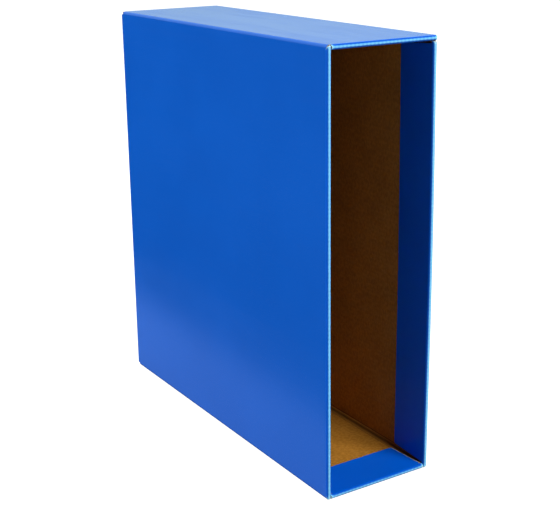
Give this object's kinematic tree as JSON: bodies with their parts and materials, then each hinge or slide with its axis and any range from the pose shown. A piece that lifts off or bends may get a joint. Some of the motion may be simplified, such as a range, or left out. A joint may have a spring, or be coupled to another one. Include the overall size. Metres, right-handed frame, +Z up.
{
  "type": "archival box",
  "caption": "Tall narrow slipcase of folded fluted board, glossy blue outside and kraft inside, with turned-in hems round its open mouth and a hinged tuck-in back.",
  "frame": {"origin": "middle of the footprint, on the underside of the bottom wall", "axes": "+Z up; the open mouth faces -Y and the closed back faces +Y; +X to the right when looking into the mouth"},
  "size_m": [0.092, 0.308, 0.325],
  "materials": {
    "printed_board": "gloss film over blue print",
    "kraft_liner": "uncoated brown kraft",
    "dried_glue": "dried dispersion glue"
  },
  "bodies": {
    "carton": {"left_wall": "printed_board", "bottom_wall": "printed_board", "right_wall": "printed_board", "top_wall": "printed_board", "bottom_left_crease": "printed_board", "bottom_right_crease": "printed_board", "top_left_crease": "printed_board", "seam_crease": "printed_board", "seam_tab": "kraft_liner", "seam_glue": "dried_glue", "left_rim": "printed_board", "right_rim": "printed_board", "bottom_rim": "printed_board", "top_rim": "printed_board", "left_hem": "printed_board", "right_hem": "printed_board", "bottom_hem": "printed_board", "top_hem": "printed_board", "left_hem_glue": "dried_glue", "right_hem_glue": "dried_glue", "bottom_hem_glue": "dried_glue", "top_hem_glue": "dried_glue", "bottom_flap_crease": "printed_board", "top_flap_crease": "printed_board"},
    "back_cover": {"back_cover": "printed_board", "cover_crease": "printed_board", "tongue_crease": "printed_board"},
    "tuck_tongue": {"tuck_tongue": "kraft_liner"},
    "top_dust_flap": {"top_dust_flap": "kraft_liner"},
    "bottom_dust_flap": {"bottom_dust_flap": "kraft_liner"}
  },
  "joints": [
    {"name": "cover_hinge", "type": "hinge", "parent": "carton", "child": "back_cover", "pos_m": [-0.04525, 0.15325, 0.1625], "axis": [0, 0, 1], "range_deg": [0, 110]},
    {"name": "tongue_hinge", "type": "hinge", "parent": "back_cover", "child": "tuck_tongue", "pos_m": [0.0417, 0.1522, 0.1625], "axis": [0, 0, 1], "range_deg": [-55, 0]},
    {"name": "top_flap_hinge", "type": "hinge", "parent": "carton", "child": "top_dust_flap", "pos_m": [0, 0.1504, 0.3232], "axis": [-1, 0, 0], "range_deg": [0, 70]},
    {"name": "bottom_flap_hinge", "type": "hinge", "parent": "carton", "child": "bottom_dust_flap", "pos_m": [0, 0.1504, 0.0018], "axis": [1, 0, 0], "range_deg": [0, 70]}
  ],
  "couplings": [
    {"joint": "tongue_hinge", "follows": "cover_hinge", "ratio": -0.5}
  ]
}
